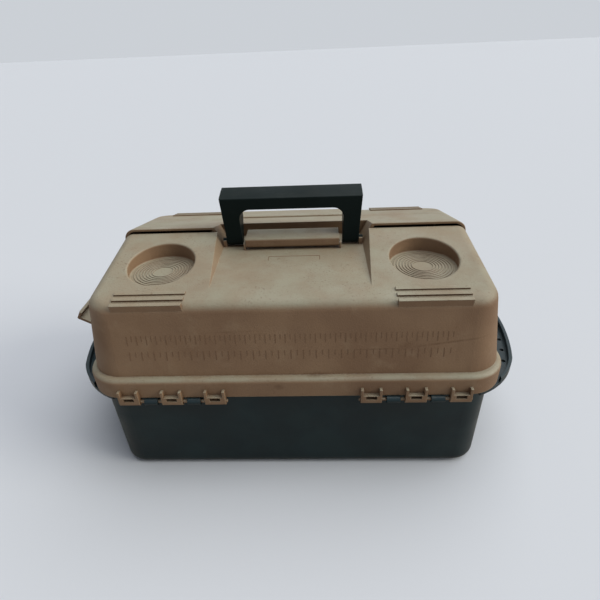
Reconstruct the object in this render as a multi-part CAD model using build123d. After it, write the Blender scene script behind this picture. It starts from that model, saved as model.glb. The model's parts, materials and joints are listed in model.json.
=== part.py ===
"""Hip-roof tackle box: a base tub, two lids that meet at a ridge, and three cantilever trays under each lid.

Millimetres. X runs along the box, Y from the front to the back, Z up. The origin is on the floor
under the middle of the base. The front half is drawn first, and the rear half is its mirror image.
"""
import os
from math import atan2, cos, degrees, radians, sin, sqrt, tan

from build123d import *

# Base tub
BASE_LENGTH = 422.0
BASE_WIDTH = 278.0
BASE_HEIGHT = 117.5
BASE_CORNER = 28.0
BASE_BOTTOM_EDGE = 12.0
WALL = 3.0
RIM_REACH = 4.2
RIM_THICK = 4.0

# End ears of the base
EAR_REACH = 50.5
EAR_DROP = 7.5
EAR_SHOULDER_INSET = 51.0
EAR_SHOULDER_DROP = 14.0
EAR_FOOT_INSET = 2.0
EAR_BULGE = 5.0
EAR_THICK = 4.0
EAR_LIP_WIDTH = 3.5
EAR_LIP_HEIGHT = 6.0
EAR_HOLE_RADIUS = 2.3
EAR_HOLE_INSET = 9.0
EAR_HOLE_PITCH = 20.0
EAR_HOLE_COUNT = 3
EAR_HOLE_FIRST_Y = 46.0

# Lids
SKIRT_END_REACH = 10.5
SKIRT_CORNER = 40.0
SKIRT_HEIGHT = 22.5
SKIRT_EDGE = 5.0
LEDGE_END = 3.75
LEDGE_SIDE = 8.0
LID_CORNER = 37.0
LID_LEAN = 9.3
ROOF_EDGE = 13.0
SEAM_EDGE = 0.8
FRONT_SLOPE = 10.2
FRONT_EAVE_RISE = 8.0
REAR_SLOPE = 13.2
REAR_EAVE_RISE = 5.6

# Grip ribs over the outer edge of each roof, and the raised pad between the rear ones
RIB_COUNT = 3
RIB_FIRST_INSET = 30.0
RIB_PITCH = 8.5
RIB_WIDTH = 4.4
RIB_RISE = 1.6
RIB_LENGTH = 72.0
RIB_END_INSET = 41.75
RIB_STEP_IN = 0.3
PAD_NEAR_Y = 68.0
PAD_FAR_INSET = 18.0
PAD_RISE = 2.5
PAD_EDGE = 2.0

# Cup wells in the front lid
CUP_Y = 58.2
CUP_RADIUS = 36.0
CUP_END_MARGIN = 16.25
CUP_DROP = 21.5
CUP_RIM = 2.0
CUP_RING_COUNT = 7
CUP_RING_FIRST = 12.0
CUP_RING_PITCH = 3.2
CUP_RING_WIDTH = 1.5
CUP_RING_RISE = 0.6

# Handle hollow in the front lid, and the shorter notch that faces it in the rear lid
HOLLOW_DEPTH = 14.5
HOLLOW_SIDE = 5.5
HOLLOW_FLARE = 28.0
HOLLOW_SLOPE = 2.2
NOTCH_REACH = 24.0
NOTCH_DROP = 2.0

# Hinges
KNUCKLE_COUNT = 3
KNUCKLE_WIDTH = 21.6
KNUCKLE_PITCH = 45.6
KNUCKLE_END_INSET = 38.5
KNUCKLE_RADIUS = 4.0
POST_THICK = 2.7
POST_HEIGHT = 15.0
WINDOW_WIDTH = 11.0
WINDOW_HEIGHT = 4.0
WINDOW_RISE = 1.0
BARREL_WIDTH = 14.0
HINGE_PIN_RADIUS = 1.75
HINGE_PIN_NUB = 1.6

# Carry handle
HANDLE_FOOT_WIDTH = 152.0
HANDLE_SPREAD = 4.0
HANDLE_LEG_TOP = 20.5
HANDLE_LEG_FOOT = 18.3
HANDLE_RISE = 42.8
HANDLE_GRIP_THICK = 18.0
HANDLE_FRONT_Y = -13.0
HANDLE_BACK_Y = 14.0
HANDLE_LEG_BACK_Y = -1.5
HANDLE_FLARE_RISE = 22.0
HANDLE_INNER_CORNER = 12.0
HANDLE_TOP_SLOPE = 5.0
HANDLE_CROWN = 0.6
HANDLE_EDGE = 0.8
HANDLE_PIN_RADIUS = 2.8
HANDLE_LUG_THICK = 4.0
HANDLE_LUG_STEP_IN = 1.0
HANDLE_LUG_GRIP = 0.8
HANDLE_BORE_WALL = 2.0

# Top latch
LATCH_FRONT_Y = -21.6
LATCH_NOSE_Y = 7.5
LATCH_RISE = 13.1
LATCH_SKIN = 4.0
LATCH_BARREL_RADIUS = 3.3
LATCH_PIN_RADIUS = 1.5
LATCH_LUG_THICK = 2.0
LATCH_EDGE = 3.0
LATCH_NOSE_EDGE = 1.5

# End latches on the ears
END_LATCH_OUT = 13.0
END_LATCH_RISE = 7.0
END_LATCH_WIDTH = 57.0
END_LATCH_HEIGHT = 50.0
END_LATCH_SKIN = 3.5
END_LATCH_BARREL_RADIUS = 4.0
END_LATCH_LIP = 7.0
END_LATCH_EDGE = 2.5
END_LATCH_PIN_RADIUS = 2.0
END_LATCH_LUG_THICK = 5.0
END_LATCH_OPEN = 59.0

# Trays, their arms and rivets
TRAY_COUNT = 3
TRAY_INNER_Y = 8.0
TRAY_HEIGHT = 27.0
TRAY_WALL = 2.0
TRAY_CORNER = 4.0
TRAY_PIVOT_RISE = 8.0
DIVIDER_COUNT = 3
DIVIDER_THICK = 1.6
DIVIDER_DROP = 3.0
ARM_PIVOT_DROP = 9.5
ARM_PIVOT_INSET = 2.0
ARM_SPACING = 34.0
ARM_WIDTH = 10.0
ARM_THICK = 3.0
ARM_STANDOFF = 3.5
RIVET_RADIUS = 2.5
RIVET_HEAD_RADIUS = 4.2
RIVET_HEAD_THICK = 1.5
RIVET_BITE = 1.0
BOSS_RADIUS = 5.0

# Clearances
RUNNING = 0.05
SIDE_GAP = 0.4
ARM_GAP = 0.3
ARM_TRAY_MARGIN = 7.2
RIM_GAP = 0.5
RIM_SIDE_GAP = 0.8
KNUCKLE_GAP = 0.5
SEAM = 0.8
LIP_GAP = 1.5
TRAY_SIDE_GAP = 16.0
TRAY_END_GAP = 18.0
TRAY_STACK_GAP = 2.0
TRAY_RIM_GAP = 6.5
HANDLE_SIDE_GAP = 1.0
HANDLE_FLOOR_GAP = 0.75
LATCH_LEG_GAP = 1.6
LATCH_FLOOR_GAP = 1.6
CUT = 10.0
NEAR = 1.0

# Lengths and widths worked out from the sizes above
BASE_HALF = BASE_LENGTH / 2
SKIRT_LENGTH = BASE_LENGTH + 2 * SKIRT_END_REACH
SKIRT_WIDTH = BASE_WIDTH + 2 * (RIM_REACH + RIM_SIDE_GAP + WALL)
LID_LENGTH = SKIRT_LENGTH - 2 * LEDGE_END
LID_WIDTH = SKIRT_WIDTH - 2 * LEDGE_SIDE
EAR_TIP_X = BASE_HALF + EAR_REACH
EAR_SHOULDER_Y = BASE_WIDTH / 2 - EAR_SHOULDER_INSET
EAR_FOOT_Y = BASE_WIDTH / 2 - EAR_FOOT_INSET
EAR_ARC_RADIUS = (EAR_SHOULDER_Y**2 + EAR_SHOULDER_DROP**2) / (2 * EAR_SHOULDER_DROP)
KNUCKLE_OUTER_X = SKIRT_LENGTH / 2 - KNUCKLE_END_INSET
HINGE_Y = -(BASE_WIDTH / 2 + RIM_REACH + KNUCKLE_GAP + KNUCKLE_RADIUS)
END_LATCH_X = SKIRT_LENGTH / 2 + END_LATCH_OUT
HOLLOW_FLOOR_WIDTH = HANDLE_FOOT_WIDTH + 2 * HOLLOW_SIDE
CUP_X = (HOLLOW_FLOOR_WIDTH / 2 + LID_LENGTH / 2 - CUP_END_MARGIN) / 2
HANDLE_TOP_WIDTH = HANDLE_FOOT_WIDTH + 2 * HANDLE_SPREAD
HANDLE_PIVOT_Y = (HANDLE_FRONT_Y + HANDLE_LEG_BACK_Y) / 2
HANDLE_FOOT_RADIUS = (HANDLE_LEG_BACK_Y - HANDLE_FRONT_Y) / 2
HANDLE_INNER_X = HANDLE_FOOT_WIDTH / 2 - HANDLE_LEG_FOOT
HANDLE_BORE_X = HANDLE_INNER_X + HANDLE_BORE_WALL
LATCH_WIDTH = 2 * (HANDLE_INNER_X - LATCH_LEG_GAP - LATCH_LUG_THICK - SIDE_GAP)
LATCH_PIVOT_Y = LATCH_FRONT_Y + LATCH_BARREL_RADIUS
TRAY_LENGTH = BASE_LENGTH - 2 * (WALL + TRAY_END_GAP)
TRAY_END_X = TRAY_LENGTH / 2
TRAY_OUTER_Y = min(BASE_WIDTH, LID_WIDTH) / 2 - WALL - TRAY_SIDE_GAP
ARM_PIVOT_OUTER_Y = TRAY_OUTER_Y - ARM_PIVOT_INSET
ARM_PIVOT_INNER_Y = ARM_PIVOT_OUTER_Y - ARM_SPACING
ARM_X = TRAY_END_X + ARM_STANDOFF
ARM_OUTER_X = ARM_X + ARM_THICK
RIVET_END_X = BASE_HALF - WALL + RIVET_BITE

# Heights worked out from the sizes above
EAR_TOP_Z = BASE_HEIGHT - EAR_DROP
HINGE_Z = BASE_HEIGHT - KNUCKLE_RADIUS
SKIRT_Z = BASE_HEIGHT + RIM_GAP
LEDGE_Z = SKIRT_Z + SKIRT_HEIGHT
END_LATCH_Z = EAR_TOP_Z + END_LATCH_RISE
ARM_PIVOT_Z = BASE_HEIGHT - ARM_PIVOT_DROP
TRAY_FIRST_Z = BASE_HEIGHT + TRAY_RIM_GAP
TRAY_PITCH = TRAY_HEIGHT + TRAY_STACK_GAP
TRAY_TOP_Z = TRAY_FIRST_Z + (TRAY_COUNT - 1) * TRAY_PITCH + TRAY_HEIGHT
FRONT_RIDGE_Z = TRAY_TOP_Z + FRONT_EAVE_RISE + LID_WIDTH / 2 * tan(radians(FRONT_SLOPE))
REAR_RIDGE_Z = TRAY_TOP_Z + REAR_EAVE_RISE + LID_WIDTH / 2 * tan(radians(REAR_SLOPE))
CUP_FLOOR_Z = FRONT_RIDGE_Z - CUP_DROP
HOLLOW_FLOOR_Z = FRONT_RIDGE_Z - HOLLOW_DEPTH
NOTCH_FLOOR_Z = HOLLOW_FLOOR_Z - NOTCH_DROP
HANDLE_PIVOT_Z = HOLLOW_FLOOR_Z + HANDLE_FOOT_RADIUS + HANDLE_FLOOR_GAP
HANDLE_TOP_Z = REAR_RIDGE_Z + HANDLE_RISE
HANDLE_GRIP_Z = HANDLE_TOP_Z - HANDLE_GRIP_THICK
LATCH_PIVOT_Z = HOLLOW_FLOOR_Z + LATCH_FLOOR_GAP + LATCH_BARREL_RADIUS
LATCH_TOP_Z = HOLLOW_FLOOR_Z + LATCH_RISE


def rounded_block(length, width, corner, low_z, high_z, lean=0.0):
    """Upright block with round vertical corners, drawn in by lean degrees as it rises."""
    plan = Plane.XY.offset(low_z) * RectangleRounded(length, width, corner)
    return extrude(plan, amount=high_z - low_z, taper=lean)


def block(x0, x1, y0, y1, z0, z1):
    """Plain block between two corners."""
    middle = ((x0 + x1) / 2, (y0 + y1) / 2, (z0 + z1) / 2)
    return Pos(*middle) * Box(abs(x1 - x0), abs(y1 - y0), abs(z1 - z0))


def rod_x(radius, x0, x1, y, z):
    """Round rod along X."""
    return Pos((x0 + x1) / 2, y, z) * Rot(0, 90, 0) * Cylinder(radius, abs(x1 - x0))


def rod_y(radius, y0, y1, x, z):
    """Round rod along Y."""
    return Pos(x, (y0 + y1) / 2, z) * Rot(90, 0, 0) * Cylinder(radius, abs(y1 - y0))


def profile_x(points, half):
    """Outline of (y, z) points, pulled along X to both sides of the middle."""
    face = make_face(Polyline(*[(0, y, z) for y, z in points], close=True))
    return extrude(face, amount=half, dir=(1, 0, 0), both=True)


def mirrored(shape, plane):
    """Mirror image of one shape."""
    return mirror(shape, about=plane)


def both_ends(shape):
    """A shape and its mirror image at the other end of the box."""
    return [shape, mirrored(shape, Plane.YZ)]


def roof_z(y, ridge_z, slope):
    """Height of a roof plane at a distance y from the ridge."""
    return ridge_z - abs(y) * tan(radians(slope))


def ear_edge_x(y):
    """Outer edge of an ear between its shoulders."""
    return EAR_TIP_X - EAR_ARC_RADIUS + sqrt(EAR_ARC_RADIUS**2 - y**2)


def ear_plan(inset):
    """Outline of the right ear, drawn in by inset."""
    shoulder_x = EAR_TIP_X - EAR_SHOULDER_DROP
    shoulder = (shoulder_x - inset, EAR_SHOULDER_Y - inset / 2)
    foot = (BASE_HALF - BASE_CORNER / 2, EAR_FOOT_Y - inset)
    knee = ((shoulder[0] + foot[0]) / 2 + EAR_BULGE, (shoulder[1] + foot[1]) / 2 + EAR_BULGE)
    outer = ThreePointArc((shoulder[0], -shoulder[1]), (EAR_TIP_X - inset, 0), shoulder)
    rear = ThreePointArc(shoulder, knee, foot)
    back = Line(foot, (foot[0], -foot[1]))
    front = ThreePointArc((foot[0], -foot[1]), (knee[0], -knee[1]), (shoulder[0], -shoulder[1]))
    return make_face([outer, rear, back, front])


def ear():
    """Right end ear: a shelf with a raised outer lip, small holes and the end latch's lugs."""
    low_z = EAR_TOP_Z - EAR_THICK
    shelf = extrude(Plane.XY.offset(low_z) * ear_plan(0), amount=EAR_THICK)
    lip = extrude(Plane.XY.offset(low_z) * ear_plan(0), amount=EAR_THICK + EAR_LIP_HEIGHT)
    lip -= extrude(Plane.XY.offset(low_z) * ear_plan(EAR_LIP_WIDTH), amount=EAR_THICK + EAR_LIP_HEIGHT)
    skirt_clear = SKIRT_LENGTH / 2 + LIP_GAP
    lip -= block(0, skirt_clear, -BASE_WIDTH, BASE_WIDTH, EAR_TOP_Z, EAR_TOP_Z + CUT)
    piece = shelf + lip
    for row in range(EAR_HOLE_COUNT):
        for side in (-1, 1):
            y = side * (EAR_HOLE_FIRST_Y + row * EAR_HOLE_PITCH)
            x = ear_edge_x(y) - EAR_HOLE_INSET
            piece -= Pos(x, y, EAR_TOP_Z) * Cylinder(EAR_HOLE_RADIUS, 4 * EAR_THICK)
    lug_y = END_LATCH_WIDTH / 2 + SIDE_GAP
    for side in (-1, 1):
        y0, y1 = sorted((side * lug_y, side * (lug_y + END_LATCH_LUG_THICK)))
        half = END_LATCH_BARREL_RADIUS
        lug = block(END_LATCH_X - half, END_LATCH_X + half, y0, y1, low_z, END_LATCH_Z)
        lug += rod_y(half, y0, y1, END_LATCH_X, END_LATCH_Z)
        piece += lug
    reach = lug_y + END_LATCH_LUG_THICK + CUT
    return piece - rod_y(END_LATCH_PIN_RADIUS + RUNNING, -reach, reach, END_LATCH_X, END_LATCH_Z)


def knuckle_centres():
    """X of the lid knuckles of the right-hand hinge group."""
    first = KNUCKLE_OUTER_X - KNUCKLE_WIDTH / 2
    return [first - index * KNUCKLE_PITCH for index in range(KNUCKLE_COUNT)]


def base_hinge_barrels():
    """Green barrels between the lid knuckles, with the webs that join them to the tub."""
    pieces = []
    for centre in knuckle_centres()[:-1]:
        x = centre - KNUCKLE_PITCH / 2
        x0, x1 = x - BARREL_WIDTH / 2, x + BARREL_WIDTH / 2
        barrel = rod_x(KNUCKLE_RADIUS, x0, x1, HINGE_Y, HINGE_Z)
        web_back = -BASE_WIDTH / 2 + WALL / 2
        barrel += block(x0, x1, HINGE_Y, web_back, HINGE_Z - KNUCKLE_RADIUS, HINGE_Z)
        barrel -= rod_x(HINGE_PIN_RADIUS + RUNNING, x0 - CUT, x1 + CUT, HINGE_Y, HINGE_Z)
        pieces += both_ends(barrel)
    return pieces


def arm_rises():
    """Heights of the tray pivots over an arm's base pivot."""
    rise = TRAY_FIRST_Z + TRAY_PIVOT_RISE - ARM_PIVOT_Z
    return [rise + index * TRAY_PITCH for index in range(TRAY_COUNT)]


def arm_lean():
    """Lean of the arms at rest, in degrees, that sets the inner arm's last pivot inside the top tray."""
    run = ARM_PIVOT_INNER_Y - TRAY_INNER_Y - ARM_TRAY_MARGIN
    return degrees(atan2(arm_rises()[-1], run))


def arm_direction():
    """Unit (y, z) along a front arm at rest, from its base pivot up and inwards."""
    return cos(radians(arm_lean())), sin(radians(arm_lean()))


def arm_reaches():
    """Distances from an arm's base pivot to its tray pivots."""
    return [rise / arm_direction()[1] for rise in arm_rises()]


def base_tub():
    """Tub with its rim, ears, hinge barrels and the bosses that carry the tray arms."""
    tub = rounded_block(BASE_LENGTH, BASE_WIDTH, BASE_CORNER, 0, BASE_HEIGHT)
    tub = fillet(tub.edges().group_by(Axis.Z)[0], BASE_BOTTOM_EDGE)
    grow = 2 * RIM_REACH
    tub += rounded_block(BASE_LENGTH + grow, BASE_WIDTH + grow, BASE_CORNER + RIM_REACH,
                         BASE_HEIGHT - RIM_THICK, BASE_HEIGHT)
    for shape in both_ends(ear()):
        tub += shape
    inner = rounded_block(BASE_LENGTH - 2 * WALL, BASE_WIDTH - 2 * WALL, BASE_CORNER - WALL,
                          WALL, BASE_HEIGHT + CUT)
    tub -= fillet(inner.edges().group_by(Axis.Z)[0], BASE_BOTTOM_EDGE - WALL)
    additions, cuts = base_hinge_barrels(), []
    for y in (ARM_PIVOT_OUTER_Y, ARM_PIVOT_INNER_Y):
        boss_x = ARM_OUTER_X + ARM_GAP
        additions += both_ends(rod_x(BOSS_RADIUS, boss_x, BASE_HALF - WALL / 2, -y, ARM_PIVOT_Z))
        cuts += both_ends(rod_x(RIVET_RADIUS + RUNNING, boss_x - CUT, RIVET_END_X, -y, ARM_PIVOT_Z))
    for shape in additions:
        tub += [shape, mirrored(shape, Plane.XZ)]
    for shape in cuts:
        tub -= [shape, mirrored(shape, Plane.XZ)]
    return tub


def hood(inset, ridge_z, slope, seam_y):
    """Half of the roofed form, drawn in by inset, in front of seam_y."""
    upper = rounded_block(LID_LENGTH - 2 * inset, LID_WIDTH - 2 * inset, LID_CORNER - inset,
                          LEDGE_Z - inset, ridge_z + CUT, LID_LEAN)
    outline = [(-LID_WIDTH, 0), (-LID_WIDTH, roof_z(LID_WIDTH, ridge_z, slope) - inset),
               (seam_y, ridge_z + seam_y * tan(radians(slope)) - inset), (seam_y, 0)]
    upper &= profile_x(outline, LID_LENGTH)
    roof = upper.faces().filter_by(lambda face: face.normal_at().Z > 0.9).sort_by(Axis.Z)[-1]
    upper = fillet([edge for edge in roof.edges() if edge.center().Y < seam_y - NEAR], ROOF_EDGE - inset)
    skirt = rounded_block(SKIRT_LENGTH - 2 * inset, SKIRT_WIDTH - 2 * inset, SKIRT_CORNER - inset,
                          SKIRT_Z - inset, LEDGE_Z - inset)
    skirt &= block(-SKIRT_LENGTH, SKIRT_LENGTH, -SKIRT_WIDTH, seam_y, 0, ridge_z)
    if inset == 0:
        top = skirt.edges().group_by(Axis.Z)[-1]
        skirt = fillet([edge for edge in top if edge.center().Y < seam_y - NEAR], SKIRT_EDGE)
        seam = upper.faces().sort_by(Axis.Y)[-1].edges()
        upper = fillet([edge for edge in seam if edge.center().Z > LEDGE_Z + NEAR], SEAM_EDGE)
    return upper + skirt


def on_roof(x0, x1, y, width, rise, ridge_z, slope):
    """Bar that lies along the roof at y, its top parallel to the roof and its foot inside it."""
    top = roof_z(y, ridge_z, slope) + rise
    bar = block(x0, x1, y - width / 2, y + width / 2, top - ROOF_EDGE, top)
    return Pos(0, y, top) * Rot(slope, 0, 0) * Pos(0, -y, -top) * bar


def ribs(ridge_z, slope):
    """Grip ribs of the right-hand side, stepping over the front edge of the roof."""
    pieces = []
    for row in range(RIB_COUNT):
        y = row * -RIB_PITCH - LID_WIDTH / 2 + RIB_FIRST_INSET
        x1 = LID_LENGTH / 2 - RIB_END_INSET - row * RIB_STEP_IN
        x0 = x1 - RIB_LENGTH + 2 * row * RIB_STEP_IN
        pieces.append(on_roof(x0, x1, y, RIB_WIDTH, RIB_RISE, ridge_z, slope))
    return pieces


def lid_knuckle(x):
    """One tan knuckle: a barrel under the skirt with two posts and a window."""
    x0, x1 = x - KNUCKLE_WIDTH / 2, x + KNUCKLE_WIDTH / 2
    front = HINGE_Y - KNUCKLE_RADIUS
    inside = -SKIRT_WIDTH / 2 + WALL
    piece = rod_x(KNUCKLE_RADIUS, x0, x1, HINGE_Y, HINGE_Z)
    piece += block(x0, x1, front, inside, HINGE_Z, SKIRT_Z + WALL)
    for post in (x0, x1 - POST_THICK):
        piece += block(post, post + POST_THICK, front, inside, HINGE_Z, HINGE_Z + POST_HEIGHT)
    window_z = HINGE_Z + HINGE_PIN_RADIUS + WINDOW_RISE
    piece -= block(x - WINDOW_WIDTH / 2, x + WINDOW_WIDTH / 2, front - CUT, -SKIRT_WIDTH / 2,
                   window_z, window_z + WINDOW_HEIGHT)
    return piece - rod_x(HINGE_PIN_RADIUS + RUNNING, x0 - CUT, x1 + CUT, HINGE_Y, HINGE_Z)


def lid_shell(ridge_z, slope):
    """Front half shell with its ribs and hinge knuckles; also the solid form that bounds it."""
    form = hood(0, ridge_z, slope, -SEAM / 2)
    shell = form
    for rib in ribs(ridge_z, slope):
        shell += both_ends(rib)
    shell -= hood(WALL, ridge_z, slope, CUT)
    for x in knuckle_centres():
        shell += both_ends(lid_knuckle(x))
    return shell, form


def hollow(floor_z, reach, grow, slope=0.0):
    """Hollow with flared sides that runs forward and down from the seam, or its outer skin when grown."""
    low_z, high_z = floor_z - grow, REAR_RIDGE_Z + CUT
    foot = HOLLOW_FLOOR_WIDTH / 2 + grow
    head = foot + (high_z - low_z) * tan(radians(HOLLOW_FLARE))
    corners = [(-foot, low_z), (foot, low_z), (head, high_z), (-head, high_z)]
    outline = Polyline(*[(x, CUT, z) for x, z in corners], close=True)
    shape = extrude(make_face(outline), amount=CUT + reach + grow, dir=(0, -1, 0))
    return Pos(0, 0, floor_z) * Rot(slope, 0, 0) * Pos(0, 0, -floor_z) * shape


def cup():
    """Right cup well: the skin that hangs under the roof, the space in it and its floor rings."""
    at = Pos(CUP_X, -CUP_Y, CUP_FLOOR_Z)
    below = Align.CENTER, Align.CENTER, Align.MIN
    skin = at * Pos(0, 0, -WALL) * Cylinder(CUP_RADIUS + WALL, CUP_RADIUS, align=below)
    space = at * Cylinder(CUP_RADIUS, CUP_RADIUS, align=below)
    space = fillet(space.edges().group_by(Axis.Z)[0], CUP_RIM)
    rings = []
    for index in range(CUP_RING_COUNT):
        radius = CUP_RING_FIRST + index * CUP_RING_PITCH
        ring = Cylinder(radius, CUP_RING_RISE, align=below)
        rings.append(at * (ring - Cylinder(radius - CUP_RING_WIDTH, CUP_RING_RISE, align=below)))
    return skin, space, rings


def is_cup_rim(edge):
    """True for the upper edge of a cup well."""
    middle = edge.bounding_box().center()
    return (abs(abs(middle.X) - CUP_X) < NEAR and abs(middle.Y + CUP_Y) < NEAR
            and middle.Z > CUP_FLOOR_Z + 2 * CUP_RIM)


def handle_lug():
    """Right lug outside the leg, an open seat that the handle's pin snaps into."""
    x0 = HANDLE_FOOT_WIDTH / 2 + HANDLE_SIDE_GAP
    half = HANDLE_FOOT_RADIUS - HANDLE_LUG_STEP_IN
    lug = block(x0, x0 + HANDLE_LUG_THICK, HANDLE_PIVOT_Y - half, HANDLE_PIVOT_Y + half,
                HOLLOW_FLOOR_Z - WALL / 2, HANDLE_PIVOT_Z + HANDLE_LUG_GRIP)
    return lug - rod_x(HANDLE_PIN_RADIUS + RUNNING, x0 - CUT, x0 + CUT, HANDLE_PIVOT_Y, HANDLE_PIVOT_Z)


def latch_lug():
    """Right lug that carries the top latch's pin."""
    x0 = LATCH_WIDTH / 2 + SIDE_GAP
    half = LATCH_BARREL_RADIUS
    lug = block(x0, x0 + LATCH_LUG_THICK, LATCH_PIVOT_Y - half, LATCH_PIVOT_Y + half,
                HOLLOW_FLOOR_Z - WALL / 2, LATCH_PIVOT_Z)
    lug += rod_x(half, x0, x0 + LATCH_LUG_THICK, LATCH_PIVOT_Y, LATCH_PIVOT_Z)
    return lug - rod_x(LATCH_PIN_RADIUS + RUNNING, x0 - CUT, x0 + CUT, LATCH_PIVOT_Y, LATCH_PIVOT_Z)


def front_lid():
    """Front lid with its cup wells, the handle hollow and the lugs in it."""
    lid, form = lid_shell(FRONT_RIDGE_Z, FRONT_SLOPE)
    skin, space, rings = cup()
    for shape in both_ends(skin) + [hollow(HOLLOW_FLOOR_Z, LID_WIDTH / 2, WALL, HOLLOW_SLOPE)]:
        lid += shape & form
    lid -= both_ends(space) + [hollow(HOLLOW_FLOOR_Z, LID_WIDTH / 2, 0, HOLLOW_SLOPE)]
    lid = fillet([edge for edge in lid.edges() if is_cup_rim(edge)], CUP_RIM)
    for ring in rings:
        lid += both_ends(ring)
    return lid + both_ends(handle_lug()) + both_ends(latch_lug())


def rear_pad():
    """Raised pad in the middle of the rear roof, drawn at the front."""
    half, far = HOLLOW_FLOOR_WIDTH / 2, LID_WIDTH / 2 - PAD_FAR_INSET
    pad = on_roof(-half, half, -(PAD_NEAR_Y + far) / 2, far - PAD_NEAR_Y, PAD_RISE, REAR_RIDGE_Z, REAR_SLOPE)
    top = pad.faces().sort_by(Axis.Z)[-1]
    return fillet(top.edges(), PAD_EDGE)


def rear_lid():
    """Rear lid: a shell with a taller ridge, a raised pad and a notch for the handle, turned to the back."""
    lid, form = lid_shell(REAR_RIDGE_Z, REAR_SLOPE)
    lid += rear_pad() & hood(0, REAR_RIDGE_Z + PAD_RISE + WALL, REAR_SLOPE, -SEAM / 2)
    lid -= hood(WALL, REAR_RIDGE_Z, REAR_SLOPE, CUT)
    lid += hollow(NOTCH_FLOOR_Z, NOTCH_REACH, WALL) & form
    lid -= hollow(NOTCH_FLOOR_Z, NOTCH_REACH, 0)
    return mirrored(lid, Plane.XZ)


def hinge_pin():
    """Pin of the right-hand hinge group, with a nub beyond each outer knuckle."""
    inner = knuckle_centres()[-1] - KNUCKLE_WIDTH / 2
    return rod_x(HINGE_PIN_RADIUS, inner - HINGE_PIN_NUB, KNUCKLE_OUTER_X + HINGE_PIN_NUB, HINGE_Y, HINGE_Z)


def carry_handle():
    """U-shaped handle: its front outline and its side outline, one cut by the other."""
    foot_z = HANDLE_PIVOT_Z - HANDLE_FOOT_RADIUS
    top, foot = HANDLE_TOP_WIDTH / 2, HANDLE_FOOT_WIDTH / 2
    inner_top, inner_foot = top - HANDLE_LEG_TOP, HANDLE_INNER_X
    corners = [(-foot, foot_z), (-top, HANDLE_TOP_Z), (top, HANDLE_TOP_Z), (foot, foot_z),
               (inner_foot, foot_z), (inner_top, HANDLE_GRIP_Z), (-inner_top, HANDLE_GRIP_Z),
               (-inner_foot, foot_z)]
    outline = Polyline(*[(x, 0, z) for x, z in corners], close=True)
    frame = extrude(make_face(outline), amount=BASE_WIDTH / 2, dir=(0, 1, 0), both=True)
    frame = fillet([edge for edge in frame.edges().filter_by(Axis.Y)
                    if abs(edge.center().Z - HANDLE_GRIP_Z) < NEAR], HANDLE_INNER_CORNER)
    side = [(HANDLE_BACK_Y, HANDLE_TOP_Z), (HANDLE_BACK_Y, HANDLE_PIVOT_Z + HANDLE_FLARE_RISE),
            (HANDLE_LEG_BACK_Y, HANDLE_PIVOT_Z), (HANDLE_FRONT_Y, HANDLE_PIVOT_Z),
            (HANDLE_FRONT_Y, HANDLE_TOP_Z - HANDLE_TOP_SLOPE)]
    path = [(0, y, z) for y, z in side]
    middle_z = HANDLE_TOP_Z - HANDLE_TOP_SLOPE / 2 + HANDLE_CROWN
    crown = ThreePointArc(path[-1], (0, (HANDLE_FRONT_Y + HANDLE_BACK_Y) / 2, middle_z), path[0])
    body = extrude(make_face([Polyline(*path), crown]), amount=HANDLE_TOP_WIDTH, dir=(1, 0, 0), both=True)
    body += rod_x(HANDLE_FOOT_RADIUS, -HANDLE_TOP_WIDTH, HANDLE_TOP_WIDTH, HANDLE_PIVOT_Y, HANDLE_PIVOT_Z)
    handle = frame & body
    front = handle.faces().filter_by(lambda face: face.normal_at().Y < -0.99)
    handle = fillet([edge for face in front for edge in face.edges()], HANDLE_EDGE)
    bore = rod_x(HANDLE_PIN_RADIUS + RUNNING, HANDLE_BORE_X, foot + CUT, HANDLE_PIVOT_Y, HANDLE_PIVOT_Z)
    return handle - both_ends(bore)


def handle_pin():
    """Right pivot pin of the handle, from inside the leg through the lug."""
    outer = HOLLOW_FLOOR_WIDTH / 2
    return rod_x(HANDLE_PIN_RADIUS, HANDLE_BORE_X + SIDE_GAP, outer, HANDLE_PIVOT_Y, HANDLE_PIVOT_Z)


def top_latch():
    """Flap between the handle's legs: a level top over the seam, an upright front and a barrel."""
    under_z, inside_y = LATCH_TOP_Z - LATCH_SKIN, LATCH_FRONT_Y + LATCH_SKIN
    side = [(LATCH_FRONT_Y, LATCH_PIVOT_Z), (LATCH_FRONT_Y, LATCH_TOP_Z), (LATCH_NOSE_Y, LATCH_TOP_Z),
            (LATCH_NOSE_Y, under_z), (inside_y, under_z), (inside_y, LATCH_PIVOT_Z)]
    flap = profile_x(side, LATCH_WIDTH / 2)
    top = flap.edges().filter_by(Axis.X).group_by(Axis.Z)[-1].sort_by(Axis.Y)
    flap = fillet(top[0], LATCH_EDGE)
    nose = flap.edges().filter_by(Axis.X).group_by(Axis.Y)[-1]
    flap = fillet(nose, LATCH_NOSE_EDGE)
    flap += rod_x(LATCH_BARREL_RADIUS, -LATCH_WIDTH / 2, LATCH_WIDTH / 2, LATCH_PIVOT_Y, LATCH_PIVOT_Z)
    return flap - rod_x(LATCH_PIN_RADIUS + RUNNING, -LATCH_WIDTH, LATCH_WIDTH, LATCH_PIVOT_Y, LATCH_PIVOT_Z)


def top_latch_pin():
    """Pin of the top latch, from lug to lug."""
    half = LATCH_WIDTH / 2 + SIDE_GAP + LATCH_LUG_THICK
    return rod_x(LATCH_PIN_RADIUS, -half, half, LATCH_PIVOT_Y, LATCH_PIVOT_Z)


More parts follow.
